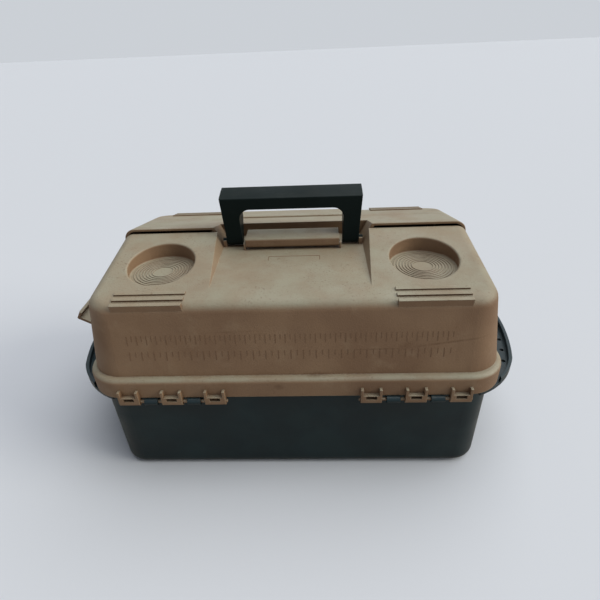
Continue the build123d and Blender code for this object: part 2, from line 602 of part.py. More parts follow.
def end_latch():
    """Right end latch, shut: an upright flap with a lip turned in over the lids' ends."""
    half = END_LATCH_WIDTH / 2
    inner_x = END_LATCH_X - END_LATCH_SKIN / 2
    top = END_LATCH_Z + END_LATCH_HEIGHT
    flap = block(inner_x, inner_x + END_LATCH_SKIN, -half, half, END_LATCH_Z, top)
    flap += block(inner_x - END_LATCH_LIP, inner_x + END_LATCH_SKIN, -half, half, top - END_LATCH_SKIN, top)
    flap = fillet(flap.edges().filter_by(Axis.X).group_by(Axis.Z)[-1], END_LATCH_EDGE)
    flap += rod_y(END_LATCH_BARREL_RADIUS, -half, half, END_LATCH_X, END_LATCH_Z)
    return flap - rod_y(END_LATCH_PIN_RADIUS + RUNNING, -half - CUT, half + CUT, END_LATCH_X, END_LATCH_Z)


def left_end_latch():
    """Left end latch, swung out to its open stop."""
    shut = mirrored(end_latch(), Plane.YZ)
    axis = Axis((-END_LATCH_X, 0, END_LATCH_Z), (0, -1, 0))
    return shut.rotate(axis, END_LATCH_OPEN)


def end_latch_pin():
    """Pin of the right end latch, from lug to lug."""
    half = END_LATCH_WIDTH / 2 + SIDE_GAP + END_LATCH_LUG_THICK
    return rod_y(END_LATCH_PIN_RADIUS, -half, half, END_LATCH_X, END_LATCH_Z)


def tray_pivots(index):
    """The (y, z) of a front tray's two pivots: outer arm, then inner arm."""
    along, up = arm_direction()
    reach = arm_reaches()[index]
    return [(along * reach - y, ARM_PIVOT_Z + up * reach) for y in (ARM_PIVOT_OUTER_Y, ARM_PIVOT_INNER_Y)]


def front_tray(index):
    """One front tray: an open box with a lengthwise wall and a boss at each pivot."""
    low_z = TRAY_FIRST_Z + index * TRAY_PITCH
    width = TRAY_OUTER_Y - TRAY_INNER_Y
    at = Pos(0, -(TRAY_OUTER_Y + TRAY_INNER_Y) / 2, 0)
    tray = at * rounded_block(TRAY_LENGTH, width, TRAY_CORNER, low_z, low_z + TRAY_HEIGHT)
    tray -= at * rounded_block(TRAY_LENGTH - 2 * TRAY_WALL, width - 2 * TRAY_WALL, TRAY_CORNER - TRAY_WALL,
                               low_z + TRAY_WALL, low_z + TRAY_HEIGHT + CUT)
    half = TRAY_WALL / 2
    tray += at * block(-TRAY_END_X + half, TRAY_END_X - half, -half, half,
                       low_z + half, low_z + TRAY_HEIGHT)
    for y, z in tray_pivots(index):
        tray += both_ends(rod_x(BOSS_RADIUS, TRAY_END_X - half, ARM_X - ARM_GAP, y, z))
        tray -= both_ends(rod_x(RIVET_RADIUS + RUNNING, TRAY_END_X - CUT, ARM_X + CUT, y, z))
    return tray


def tray_rivets(index):
    """Rivets that hold a front tray to its arms."""
    rivets = []
    for y, z in tray_pivots(index):
        head_x = ARM_OUTER_X + ARM_GAP
        rivet = rod_x(RIVET_RADIUS, TRAY_END_X - TRAY_WALL, head_x, y, z)
        rivet += rod_x(RIVET_HEAD_RADIUS, head_x, head_x + RIVET_HEAD_THICK, y, z)
        rivets += both_ends(rivet)
    return Compound(rivets)


def tray_dividers(index):
    """Loose cross dividers that stand in a front tray."""
    low_z = TRAY_FIRST_Z + index * TRAY_PITCH + TRAY_WALL
    high_z = TRAY_FIRST_Z + index * TRAY_PITCH + TRAY_HEIGHT - DIVIDER_DROP
    middle = -(TRAY_OUTER_Y + TRAY_INNER_Y) / 2
    near, far = TRAY_WALL / 2 + SIDE_GAP, (TRAY_OUTER_Y - TRAY_INNER_Y) / 2 - TRAY_WALL - SIDE_GAP
    pitch = TRAY_LENGTH / (DIVIDER_COUNT + 1)
    dividers = []
    for place in range(1, DIVIDER_COUNT + 1):
        x = -TRAY_END_X + place * pitch
        for side in (-1, 1):
            y0, y1 = sorted((middle + side * near, middle + side * far))
            dividers.append(block(x - DIVIDER_THICK / 2, x + DIVIDER_THICK / 2, y0, y1, low_z, high_z))
    return Compound(dividers)


def front_arm(pivot_y):
    """Right arm from the base pivot past the three trays, with a hole at each pivot."""
    along, up = arm_direction()
    reach = arm_reaches()[-1]
    bar = Pos(0, reach / 2, 0) * Box(ARM_THICK, reach, ARM_WIDTH)
    for end in (0, reach):
        bar += rod_x(ARM_WIDTH / 2, -ARM_THICK / 2, ARM_THICK / 2, end, 0)
    for hole in [0] + arm_reaches():
        bar -= rod_x(RIVET_RADIUS + 2 * RUNNING, -CUT, CUT, hole, 0)
    return Pos(ARM_X + ARM_THICK / 2, -pivot_y, ARM_PIVOT_Z) * Rot(arm_lean(), 0, 0) * bar


def base_rivets():
    """Rivets that hold the front arms to the base."""
    rivets = []
    for y in (ARM_PIVOT_OUTER_Y, ARM_PIVOT_INNER_Y):
        head_x = ARM_X - ARM_GAP
        rivet = rod_x(RIVET_RADIUS, head_x, RIVET_END_X, -y, ARM_PIVOT_Z)
        rivet += rod_x(RIVET_HEAD_RADIUS, head_x - RIVET_HEAD_THICK, head_x, -y, ARM_PIVOT_Z)
        rivets += both_ends(rivet)
    return Compound(rivets)


def front_pieces():
    """Pieces of the front half that the rear half repeats, by the name without its side."""
    pieces = {"base_rivets": base_rivets()}
    for hand, plane in (("right", None), ("left", Plane.YZ)):
        for name, shape in (("hinge_pin", hinge_pin()), ("outer_arm", front_arm(ARM_PIVOT_OUTER_Y)),
                            ("inner_arm", front_arm(ARM_PIVOT_INNER_Y))):
            pieces[f"{name}_{hand}"] = mirrored(shape, plane) if plane else shape
    for index in range(TRAY_COUNT):
        pieces[f"tray_{index + 1}"] = front_tray(index)
        pieces[f"tray_{index + 1}_rivets"] = tray_rivets(index)
        pieces[f"tray_{index + 1}_dividers"] = tray_dividers(index)
    return pieces


def all_pieces():
    """Every node of the box by name."""
    pieces = {"base_tub": base_tub(), "front_lid": front_lid(), "rear_lid": rear_lid(),
              "carry_handle": carry_handle(), "top_latch": top_latch(), "top_latch_pin": top_latch_pin(),
              "right_end_latch": end_latch(), "left_end_latch": left_end_latch()}
    for name, shape in (("handle_pin", handle_pin()), ("end_latch_pin", end_latch_pin())):
        pieces[f"{name}_right"] = shape
        pieces[f"{name}_left"] = mirrored(shape, Plane.YZ)
    for name, shape in front_pieces().items():
        pieces[f"front_{name}"] = shape
        pieces[f"rear_{name}"] = mirrored(shape, Plane.XZ)
    return pieces


os.makedirs("parts", exist_ok=True)
for node, piece in all_pieces().items():
    export_step(piece, f"parts/{node}.step")
    print(node, round(piece.volume / 1000, 1), "cm3")
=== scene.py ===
# %% [markdown]
# # A hip-roof tackle box
#
# The box is moulded plastic: a dark green tub, two tan lids that meet at a ridge, and a green carry
# handle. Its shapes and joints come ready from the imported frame, in metres, with +Z up. This lesson
# gives the frame its finishes, adds the small moulded marks and sets up the floor, the light and the
# camera.

# %% Load the frame
import json
from math import cos, radians, sin

import bmesh
import bpy
from mathutils import Euler, Matrix, Vector


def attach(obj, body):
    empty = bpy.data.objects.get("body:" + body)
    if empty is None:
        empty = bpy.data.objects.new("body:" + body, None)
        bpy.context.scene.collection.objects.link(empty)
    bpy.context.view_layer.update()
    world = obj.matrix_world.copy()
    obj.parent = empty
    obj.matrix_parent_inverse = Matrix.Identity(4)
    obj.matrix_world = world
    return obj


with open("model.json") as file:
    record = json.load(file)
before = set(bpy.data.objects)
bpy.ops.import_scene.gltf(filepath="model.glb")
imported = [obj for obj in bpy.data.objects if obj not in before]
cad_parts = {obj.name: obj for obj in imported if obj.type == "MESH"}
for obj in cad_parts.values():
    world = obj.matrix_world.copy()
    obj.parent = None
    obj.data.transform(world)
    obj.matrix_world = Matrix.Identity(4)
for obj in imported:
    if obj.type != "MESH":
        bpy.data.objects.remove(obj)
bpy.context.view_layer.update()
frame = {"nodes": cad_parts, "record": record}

MM = 0.001
front_lid = frame["nodes"]["front_lid"]
slot_of = {item["node"]: item["material_slot"] for item in frame["record"]["subparts"]}

# %% [markdown]
# ## Short calls for material nodes
#
# A procedural finish is a small network: noise makes a pattern, a range keeps the part of it that is
# wanted, and a mix lays one colour over another. Written out node by node that soon gets long, so each
# step gets a short function that takes plain values or the outputs of other nodes. Object coordinates
# are used throughout. Every piece sits at the frame's origin, so they are real metres on the object and
# they stay with a piece when it moves.

# %% Helpers for material nodes
def feed(tree, socket, value):
    """Links an output to the socket, or sets a plain value on it."""
    if isinstance(value, bpy.types.NodeSocket):
        tree.links.new(value, socket)
    else:
        socket.default_value = value


def start_material(name):
    """New material with its node tree and its Principled shader."""
    material = bpy.data.materials.new(name)
    material.use_nodes = True
    return material, material.node_tree, material.node_tree.nodes["Principled BSDF"]


def coordinates(tree, output="Object"):
    """Texture coordinates on the object, in metres."""
    return tree.nodes.new("ShaderNodeTexCoord").outputs[output]


def compute(tree, operation, first, second=0.0):
    """One step of arithmetic."""
    node = tree.nodes.new("ShaderNodeMath")
    node.operation = operation
    feed(tree, node.inputs[0], first)
    feed(tree, node.inputs[1], second)
    return node.outputs[0]


def ramp(tree, value, low, high, start=0.0, end=1.0):
    """Value between low and high, spread smoothly over start to end."""
    node = tree.nodes.new("ShaderNodeMapRange")
    node.interpolation_type = "SMOOTHSTEP"
    for socket, number in zip(node.inputs, (value, low, high, start, end)):
        feed(tree, socket, number)
    return node.outputs[0]


def colour(red, green, blue):
    """Linear colour with full opacity."""
    return (red, green, blue, 1.0)


def lay_over(tree, share, under, over):
    """Colour over another one, by its share."""
    node = tree.nodes.new("ShaderNodeMix")
    node.data_type = "RGBA"
    feed(tree, node.inputs["Factor"], share)
    colour_inputs = [item for item in node.inputs if item.type == "RGBA"]
    for socket, value in zip(colour_inputs, (under, over)):
        feed(tree, socket, value)
    return [item for item in node.outputs if item.type == "RGBA"][0]


print("node helpers ready")

# %% [markdown]
# ## Patterns in real sizes
#
# Noise gives blotches, grain and streaks, and a soft spot gives a single smudge in a known place. A size
# in metres is easier to judge against the real box than a scale without a unit, so the noise call takes
# one. Stretched coordinates turn the same noise into runs or brush marks.

# %% Pattern helpers
def noise(tree, place, size, detail=2.0, roughness=0.5):
    """Noise whose blotches are about size metres across."""
    node = tree.nodes.new("ShaderNodeTexNoise")
    feed(tree, node.inputs["Vector"], place)
    node.inputs["Scale"].default_value = 1.0 / size
    node.inputs["Detail"].default_value = detail
    node.inputs["Roughness"].default_value = roughness
    return node.outputs[0]


def mapped(tree, place, location=(0, 0, 0), rotation=(0, 0, 0), scale=(1, 1, 1)):
    """Coordinates moved, turned and stretched."""
    node = tree.nodes.new("ShaderNodeMapping")
    node.vector_type = "TEXTURE"
    feed(tree, node.inputs["Vector"], place)
    node.inputs["Location"].default_value = location
    node.inputs["Rotation"].default_value = rotation
    node.inputs["Scale"].default_value = scale
    return node.outputs[0]


def spot(tree, place, centre, reach, tilt=0.0):
    """Soft spot of 1 at its centre and 0 at its reach; centre and reach in millimetres, tilt about Y."""
    local = mapped(tree, place, [v * MM for v in centre], (0, radians(-tilt), 0), [v * MM for v in reach])
    node = tree.nodes.new("ShaderNodeTexGradient")
    node.gradient_type = "SPHERICAL"
    tree.links.new(local, node.inputs["Vector"])
    return node.outputs["Fac"]


print("pattern helpers ready")

# %% [markdown]
# ## Corners, edges and slopes
#
# Dirt gathers in corners, hands rub edges pale and dust settles on what faces up. The tan and inner
# finishes also paint shade into the corners, and the tan one paints a highlight on the edges and a sheen
# on what faces up. Such places could be painted by hand, but three nodes find them on any shape: ambient
# occlusion for corners, the bevel node's rounded normal for edges, and the upward part of the normal for
# slopes. The bevel also softens the sharp edges of the mouldings in the light.

# %% Corner, edge and slope helpers
CREASE_SAMPLES, EDGE_SAMPLES = 8, 4
EDGE_FLAT, EDGE_TURNED = 0.97, 0.80
UPRIGHT_Z, LEVEL_Z = 0.2, 0.8


def crease(tree, reach):
    """1 deep in a corner and 0 in the open, within reach metres."""
    node = tree.nodes.new("ShaderNodeAmbientOcclusion")
    node.samples = CREASE_SAMPLES
    node.inputs["Distance"].default_value = reach
    return compute(tree, "SUBTRACT", 1.0, node.outputs["AO"])


def rounded_normal(tree, radius):
    """Surface normal with its sharp edges rounded."""
    node = tree.nodes.new("ShaderNodeBevel")
    node.samples = EDGE_SAMPLES
    node.inputs["Radius"].default_value = radius
    return node.outputs["Normal"]


def edge_share(tree, radius):
    """Share of 1 on sharp edges, which hands rub pale and the tan finish also lights with a painted
    highlight, and 0 on flat faces.
    """
    geometry = tree.nodes.new("ShaderNodeNewGeometry")
    node = tree.nodes.new("ShaderNodeVectorMath")
    node.operation = "DOT_PRODUCT"
    tree.links.new(rounded_normal(tree, radius), node.inputs[0])
    tree.links.new(geometry.outputs["Normal"], node.inputs[1])
    return ramp(tree, node.outputs["Value"], EDGE_FLAT, EDGE_TURNED)


def bump(tree, height, distance, strength, normal=None):
    """Surface normal of a height pattern, laid over another normal if one is given."""
    node = tree.nodes.new("ShaderNodeBump")
    node.inputs["Distance"].default_value = distance
    node.inputs["Strength"].default_value = strength
    feed(tree, node.inputs["Height"], height)
    if normal is not None:
        tree.links.new(normal, node.inputs["Normal"])
    return node.outputs["Normal"]


def facing_up(tree):
    """Share of 1 on faces that look up when the box is shut."""
    node = tree.nodes.new("ShaderNodeSeparateXYZ")
    tree.links.new(coordinates(tree, "Normal"), node.inputs[0])
    return ramp(tree, node.outputs["Z"], UPRIGHT_Z, LEVEL_Z)


print("corner, edge and slope helpers ready")

# %% [markdown]
# ## The tan plastic of the lids
#
# The lids are moulded in tan polypropylene with a fine leathery grain. Years of use have left pale
# dust on the roof, brown dirt in the grain and in the corners, faint runs down the walls and rubbed
# edges. The finish also paints light and shade: a pale sheen on the roof, shade in the corners and a
# highlight on the edges. A photograph could be wrapped round the lids, but it would hold only one side.
# Layers of noise at the real sizes of these marks work from every side, and each layer can be tuned
# alone.

# %% Tan ground colour
TAN = colour(0.28, 0.178, 0.106)
TAN_PALE = colour(0.335, 0.24, 0.155)
TAN_DEEP = colour(0.215, 0.127, 0.073)
# Pale grey of dust on the roof, which also stands for a painted sheen of light on it.
DUST_AND_SHEEN = colour(0.325, 0.31, 0.235)
TAN_BLOTCH, TAN_FLECK, DUST_AND_SHEEN_PATCH = 90 * MM, 20 * MM, 50 * MM
RUN_STRETCH = (0.012, 0.012, 0.25)


def tan_tone(tree, place, up):
    """Ground colour: soft blotches, pale dust with a painted sheen on the roof and faint runs down the walls.
    """
    ground = lay_over(tree, ramp(tree, noise(tree, place, TAN_BLOTCH, 4.0), 0.35, 0.7), TAN_DEEP, TAN)
    flecks = ramp(tree, noise(tree, place, TAN_FLECK, 5.0, 0.6), 0.5, 0.8, 0.0, 0.45)
    ground = lay_over(tree, flecks, ground, TAN_PALE)
    # Dust and painted sheen: a pale grey laid over the faces that look up.
    dust_and_sheen = ramp(tree, noise(tree, place, DUST_AND_SHEEN_PATCH, 6.0, 0.65), 0.25, 0.7, 0.45, 0.95)
    ground = lay_over(tree, compute(tree, "MULTIPLY", up, dust_and_sheen), ground, DUST_AND_SHEEN)
    runs = noise(tree, mapped(tree, place, scale=RUN_STRETCH), 1.0, 3.0, 0.6)
    runs = ramp(tree, runs, 0.5, 0.75, 0.0, 0.35)
    upright = compute(tree, "SUBTRACT", 1.0, up)
    return lay_over(tree, compute(tree, "MULTIPLY", runs, upright), ground, TAN_DEEP)


print("tan ground colour ready")

# %% [markdown]
# ## Dirt and painted shade on the tan plastic
#
# Brown dirt sits in the pits of the grain, most of all on the roof. Every inner corner gets the same
# brown, partly dirt and partly painted shade. An even layer would look painted on, so coarse noise breaks
# the grain into patches and frays the darkening in the corners.

# %% Tan dirt
# Brown of dirt, also used as painted shade in corners.
DIRT_AND_SHADE = colour(0.10, 0.042, 0.015)
GRAIN_PIT, DIRT_PATCH, CORNER_FRAY = 2.2 * MM, 35 * MM, 8 * MM
CORNER_REACH = 8 * MM


def tan_dirt_and_shade(tree, place, up):
    """Share of dirt in the grain, most of all on the roof, and of dirt with painted shade in the corners."""
    grain = ramp(tree, noise(tree, place, GRAIN_PIT, 2.0, 0.7), 0.56, 0.72)
    patches = ramp(tree, noise(tree, place, DIRT_PATCH, 5.0, 0.6), 0.42, 0.68, 0.12, 0.6)
    grain = compute(tree, "MULTIPLY", grain, patches)
    grain = compute(tree, "MULTIPLY", grain, ramp(tree, up, 0.0, 1.0, 0.45, 1.0))
    # Corners found by ambient occlusion are darkened: dirt and painted shade.
    corners = ramp(tree, crease(tree, CORNER_REACH), 0.2, 0.65, 0.0, 0.85)
    ragged = ramp(tree, noise(tree, place, CORNER_FRAY, 4.0, 0.7), 0.25, 0.7, 0.45, 1.0)
    return compute(tree, "MAXIMUM", grain, compute(tree, "MULTIPLY", corners, ragged))


print("tan dirt ready")

# %% [markdown]
# ## Marks on the tan plastic
#
# This box has a long scratch and a few smudges on its front wall and scuffs on its rear roof. Each one is
# a soft spot, stretched and turned about Y: a centre and a reach in millimetres, a tilt in degrees and
# a depth. Noise frays them, so no edge looks drawn.

# %% Tan marks
TAN_MARKS = (
    ((156, -135, 175), (50, 20, 1.6), 7.7, 0.9),
    ((86, -135, 168.6), (34, 20, 1.3), 1.0, 0.7),
    ((114, -134, 172), (9, 12, 5), 20.0, 0.9),
    ((-60, -134, 190), (40, 12, 1.0), 1.5, 0.5),
    ((24.6, -139, 140.5), (16, 6, 4), 0.0, 1.0),
    ((-13.6, -147, 131), (7, 5, 5), 0.0, 0.8),
    ((190, 96, 223), (16, 9, 8), 0.0, 0.9),
    ((168, 70, 230), (18, 10, 8), 0.0, 0.6),
)
MARK_FRAY = 6 * MM


def tan_marks(tree, place):
    """Share of the marks that this box carries: a long scratch, smudges and scuffs."""
    marks = 0.0
    for centre, reach, tilt, depth in TAN_MARKS:
        share = compute(tree, "MULTIPLY", spot(tree, place, centre, reach, tilt), depth)
        marks = compute(tree, "MAXIMUM", share, marks)
    ragged = ramp(tree, noise(tree, place, MARK_FRAY, 4.0, 0.7), 0.3, 0.7, 0.3, 1.0)
    return compute(tree, "MULTIPLY", marks, ragged)


print(len(TAN_MARKS), "tan marks ready")

# %% [markdown]
# ## The whole tan finish
#
# The layers go on in the order in which a box gets them: the ground colour, edges rubbed pale by hands
# with a painted highlight, then dirt, with painted shade in the corners, and marks over both. The gloss
# varies a little, as it does on handled plastic. The moulded grain is too fine to model, so it is a
# bump, over the slow waves of a large moulding.

# %% Tan plastic
# Pale of rubbed edges, which is also a painted highlight on them.
RUBBED_AND_HIGHLIGHT = colour(0.46, 0.40, 0.30)
SOFT_EDGE, TAN_WORN_LIT_EDGE = 1.2 * MM, 1.6 * MM
TAN_WAVE, TAN_GRAIN, TAN_SHEEN = 60 * MM, 1.6 * MM, 30 * MM
MARK_SHARE = 0.8


def tan_grain(tree, place):
    """Moulded grain over the slow waves of a large moulding, on softened edges."""
    waves = bump(tree, noise(tree, place, TAN_WAVE, 2.0), 0.004, 0.25, rounded_normal(tree, SOFT_EDGE))
    return bump(tree, noise(tree, place, TAN_GRAIN, 3.0, 0.6), 0.0006, 0.35, waves)


def tan_plastic():
    """Tan plastic of the lids, latches and hinge pins."""
    material, tree, shader = start_material("tan_plastic_finish")
    place, up = coordinates(tree), facing_up(tree)
    tone = tan_tone(tree, place, up)
    # Edges rubbed pale, with a painted highlight on them.
    pale_edges = compute(tree, "MULTIPLY", edge_share(tree, TAN_WORN_LIT_EDGE),
                   ramp(tree, noise(tree, place, 0.012, 4.0, 0.6), 0.3, 0.7, 0.15, 0.8))
    tone = lay_over(tree, pale_edges, tone, RUBBED_AND_HIGHLIGHT)
    tone = lay_over(tree, tan_dirt_and_shade(tree, place, up), tone, DIRT_AND_SHADE)
    tone = lay_over(tree, compute(tree, "MULTIPLY", tan_marks(tree, place), MARK_SHARE), tone, DIRT_AND_SHADE)
    feed(tree, shader.inputs["Base Color"], tone)
    gloss = ramp(tree, noise(tree, place, TAN_SHEEN, 4.0), 0.3, 0.7, 0.48, 0.66)
    feed(tree, shader.inputs["Roughness"], gloss)
    feed(tree, shader.inputs["Normal"], tan_grain(tree, place))
    return material


print("tan plastic ready")

# %% [markdown]
# ## The green plastic of the tub and the handle
#
# The tub and the handle are a dark bottle green, smoother than the lids. On so dark a colour the gloss
# does most of the work: the pale floor shows in it as a soft grey veil. So the colour stays nearly even,
# and the roughness carries the scuffs, the fine scratches and the dull patches. Hands have kept the
# handle clean and dulled its gloss, so it gets a setting of its own.

# %% Green plastic
GREEN = colour(0.004, 0.017, 0.024)
GREEN_DULL = colour(0.008, 0.026, 0.034)
HANDLE_GREEN = colour(0.006, 0.012, 0.012)
HANDLE_DULL = colour(0.009, 0.016, 0.017)
GREEN_DUST = colour(0.10, 0.105, 0.095)
GREEN_BLOTCH, DUST_PATCH, GREEN_SHEEN = 50 * MM, 18 * MM, 30 * MM
GREEN_WORN_EDGE, GREEN_WAVE, GREEN_GRAIN = 1.4 * MM, 70 * MM, 1.4 * MM
SCRATCH_STRETCH = (0.05, 0.05, 0.0016)


def green_plastic(name, ground, dull, shine, dust):
    """Dark green plastic with scuffs, a share of dust and fine grain."""
    material, tree, shader = start_material(name)
    place, up = coordinates(tree), facing_up(tree)
    tone = lay_over(tree, ramp(tree, noise(tree, place, GREEN_BLOTCH, 4.0), 0.35, 0.7), ground, dull)
    dusty = ramp(tree, noise(tree, place, DUST_PATCH, 5.0, 0.65), 0.4, 0.8, 0.0, dust)
    dusty = compute(tree, "MULTIPLY", up, dusty)
    corners = ramp(tree, crease(tree, CORNER_REACH), 0.3, 0.9, 0.0, dust)
    tone = lay_over(tree, compute(tree, "MAXIMUM", dusty, corners), tone, GREEN_DUST)
    pale_edges = compute(tree, "MULTIPLY", edge_share(tree, GREEN_WORN_EDGE),
                   ramp(tree, noise(tree, place, 0.01, 4.0, 0.6), 0.4, 0.7, 0.0, dust))
    tone = lay_over(tree, pale_edges, tone, GREEN_DUST)
    feed(tree, shader.inputs["Base Color"], tone)
    shader.inputs["Specular IOR Level"].default_value = shine
    scratches = noise(tree, mapped(tree, place, scale=SCRATCH_STRETCH), 1.0, 3.0, 0.7)
    gloss = compute(tree, "ADD", ramp(tree, noise(tree, place, GREEN_SHEEN, 4.0), 0.3, 0.75, 0.30, 0.46),
                    ramp(tree, scratches, 0.55, 0.75, 0.0, 0.10))
    feed(tree, shader.inputs["Roughness"], gloss)
    waves = bump(tree, noise(tree, place, GREEN_WAVE, 2.0), 0.004, 0.2, rounded_normal(tree, SOFT_EDGE))
    grain = bump(tree, noise(tree, place, GREEN_GRAIN, 2.0), 0.0004, 0.18, waves)
    feed(tree, shader.inputs["Normal"], grain)
    return material


print("green plastic ready")

# %% [markdown]
# ## Trays and dividers
#
# The trays inside are thinner, smoother mouldings of a paler tan, and the dividers that slide into them
# are paler still. They have seen less light and dirt, so one recipe with a few settings serves both.

# %% Inner plastics
TRAY = colour(0.46, 0.35, 0.24)
TRAY_PALE = colour(0.55, 0.44, 0.32)
DIVIDER = colour(0.56, 0.47, 0.36)
DIVIDER_PALE = colour(0.64, 0.56, 0.45)


def inner_plastic(name, ground, pale):
    """Smooth plastic of the trays and dividers, with a little dirt and painted shade in its corners."""
    material, tree, shader = start_material(name)
    place = coordinates(tree)
    tone = lay_over(tree, ramp(tree, noise(tree, place, 0.04, 4.0), 0.3, 0.7), ground, pale)
    ragged = ramp(tree, noise(tree, place, 0.006, 4.0, 0.7), 0.3, 0.7, 0.3, 1.0)
    # Corners found by ambient occlusion are darkened: dirt and painted shade.
    darkening = compute(tree, "MULTIPLY", ramp(tree, crease(tree, 0.006), 0.35, 0.9, 0.0, 0.5), ragged)
    feed(tree, shader.inputs["Base Color"], lay_over(tree, darkening, tone, DIRT_AND_SHADE))
    gloss = ramp(tree, noise(tree, place, 0.02, 4.0), 0.3, 0.7, 0.36, 0.52)
    feed(tree, shader.inputs["Roughness"], gloss)
    fine = bump(tree, noise(tree, place, 0.0018, 2.0), 0.0003, 0.2, rounded_normal(tree, 0.0006))
    feed(tree, shader.inputs["Normal"], fine)
    return material


print("inner plastics ready")

# %% [markdown]
# ## Steel
#
# The rivets and pins are bright steel, brushed by the tool that formed them. Noise stretched along the
# pins gives the brushing, and a softer noise dulls the metal in places.

# %% Steel
STEEL = colour(0.56, 0.56, 0.55)
STEEL_DULL = colour(0.36, 0.34, 0.32)


def brushed_steel():
    """Bright steel of the rivets and pins, dulled in places."""
    material, tree, shader = start_material("steel_finish")
    place = coordinates(tree)
    dull = ramp(tree, noise(tree, place, 0.004, 4.0, 0.6), 0.4, 0.7)
    feed(tree, shader.inputs["Base Color"], lay_over(tree, dull, STEEL, STEEL_DULL))
    shader.inputs["Metallic"].default_value = 1.0
    brushing = noise(tree, mapped(tree, place, scale=(0.0003, 0.006, 0.006)), 1.0, 2.0)
    feed(tree, shader.inputs["Roughness"], ramp(tree, brushing, 0.3, 0.7, 0.26, 0.44))
    feed(tree, shader.inputs["Normal"], bump(tree, brushing, 0.0001, 0.2, rounded_normal(tree, 0.0004)))
    return material


print("steel ready")

# %% [markdown]
# ## Finishes on the pieces
#
# The frame names a material slot for each piece, so a table from slots to finishes dresses them all. Only
# the handle and its pins differ from the rest of the green plastic.

# %% Finishes on the pieces
TUB_SHINE, TUB_DUST = 0.35, 0.2
ARM_SHINE, ARM_DUST = 0.4, 0.15
HANDLE_SHINE, HANDLE_DUST = 0.07, 0.06

finishes = {
    "tan_plastic": tan_plastic(),
    "green_plastic": green_plastic("green_plastic_finish", GREEN, GREEN_DULL, TUB_SHINE, TUB_DUST),
    "arm_plastic": green_plastic("arm_plastic_finish", GREEN_DULL, GREEN, ARM_SHINE, ARM_DUST),
    "tray_plastic": inner_plastic("tray_plastic_finish", TRAY, TRAY_PALE),
    "divider_plastic": inner_plastic("divider_plastic_finish", DIVIDER, DIVIDER_PALE),
    "steel": brushed_steel(),
}
handle_finish = green_plastic("handle_plastic_finish", HANDLE_GREEN, HANDLE_DULL, HANDLE_SHINE, HANDLE_DUST)
for name, node in frame["nodes"].items():
    node.data.materials.clear()
    node.data.materials.append(handle_finish if "handle" in name else finishes[slot_of[name]])
print(len(finishes) + 1, "finishes on", len(frame["nodes"]), "nodes")

# %% [markdown]
# ## Moulded lines
#
# The front wall carries a moulded ruler for measuring a catch, and the hollow under the handle has a fine
# bracket line. Such marks could be painted by the material, but raised lines catch the light as real ones
# do. Each one is a thin bar, and a ray cast at the lid finds the surface that it lies on.

# %% Bars on the lid
MARK_WIDTH, MARK_RISE, MARK_BITE = 0.7 * MM, 0.18 * MM, 0.15 * MM
REARWARD, DOWNWARD = Vector((0, 1, 0)), Vector((0, 0, -1))
FAR = 1.0
BAR_FACES = ((3, 2, 1, 0), (4, 5, 6, 7), (0, 1, 5, 4), (1, 2, 6, 5), (2, 3, 7, 6), (3, 0, 4, 7))
BAR_CORNERS = 8


def on_lid(point, direction):
    """Where a ray through the point meets the front lid, and the lid's normal there."""
    hit, place, normal, _ = front_lid.ray_cast(point - direction * FAR, direction)
    assert hit, point
    return place, normal


def add_bar(mesh, start, end, direction, width):
    """Thin bar on the lid between two points."""
    first, normal = on_lid(start, direction)
    second, _ = on_lid(end, direction)
    side = (second - first).cross(normal).normalized() * width / 2
    low, high = -normal * MARK_BITE, normal * MARK_RISE
    corners = [point + edge + level for level in (low, high) for point, edge in
               ((first, -side), (first, side), (second, side), (second, -side))]
    verts = [mesh.verts.new(corner) for corner in corners]
    for face in BAR_FACES:
        mesh.faces.new([verts[index] for index in face])


print("bars ready,", round(MARK_RISE / MM, 2), "mm high")

# %% [markdown]
# ## Finish of the moulded lines
#
# Fine lines hold dirt along their sides and look browner than the wall around them. They get a plain
# brown finish of their own, and they ride on the front lid when it opens.

# %% Finish of the lines
def grimy_plastic():
    """Tan plastic of the moulded marks, brown with the dirt that they hold."""
    material, tree, shader = start_material("grimy_plastic_finish")
    darkening = ramp(tree, noise(tree, coordinates(tree), 0.02, 4.0, 0.6), 0.3, 0.7, 0.0, 0.4)
    feed(tree, shader.inputs["Base Color"], lay_over(tree, darkening, TAN_DEEP, DIRT_AND_SHADE))
    shader.inputs["Roughness"].default_value = 0.6
    return material


mark_finish = grimy_plastic()


def finish_marks(mesh, name):
    """Turns the bars into a piece of tan plastic that rides on the front lid."""
    bmesh.ops.recalc_face_normals(mesh, faces=mesh.faces)
    data = bpy.data.meshes.new(name)
    mesh.to_mesh(data)
    mesh.free()
    data.materials.append(mark_finish)
    piece = bpy.data.objects.new(name, data)
    bpy.context.scene.collection.objects.link(piece)
    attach(piece, "front_lid")


print("line finish ready")

# %% [markdown]
# ## Ruler
#
# The upper row counts centimetres and the lower row half inches, with a short tick between each two.
# One function lays both rows, from a step and the lengths that repeat along it.

# %% Ruler
RULER_LEFT, RULER_RIGHT = -165 * MM, 164 * MM
CENTIMETRE, INCH = 10 * MM, 25.4 * MM
CENTIMETRE_ROW_Z, INCH_ROW_Z = 187 * MM, 169 * MM
LONG_TICK, SHORT_TICK = 10 * MM, 6 * MM
SHORT_TICK_WIDTH = 0.7


def ruler_row(mesh, top_z, step, lengths):
    """Row of ticks a step apart, whose lengths repeat in turn."""
    count = int((RULER_RIGHT - RULER_LEFT) / step) + 1
    for index in range(count):
        x, length = RULER_LEFT + index * step, lengths[index % len(lengths)]
        wide = MARK_WIDTH if length == max(lengths) else MARK_WIDTH * SHORT_TICK_WIDTH
        add_bar(mesh, Vector((x, 0, top_z)), Vector((x, 0, top_z - length)), REARWARD, wide)


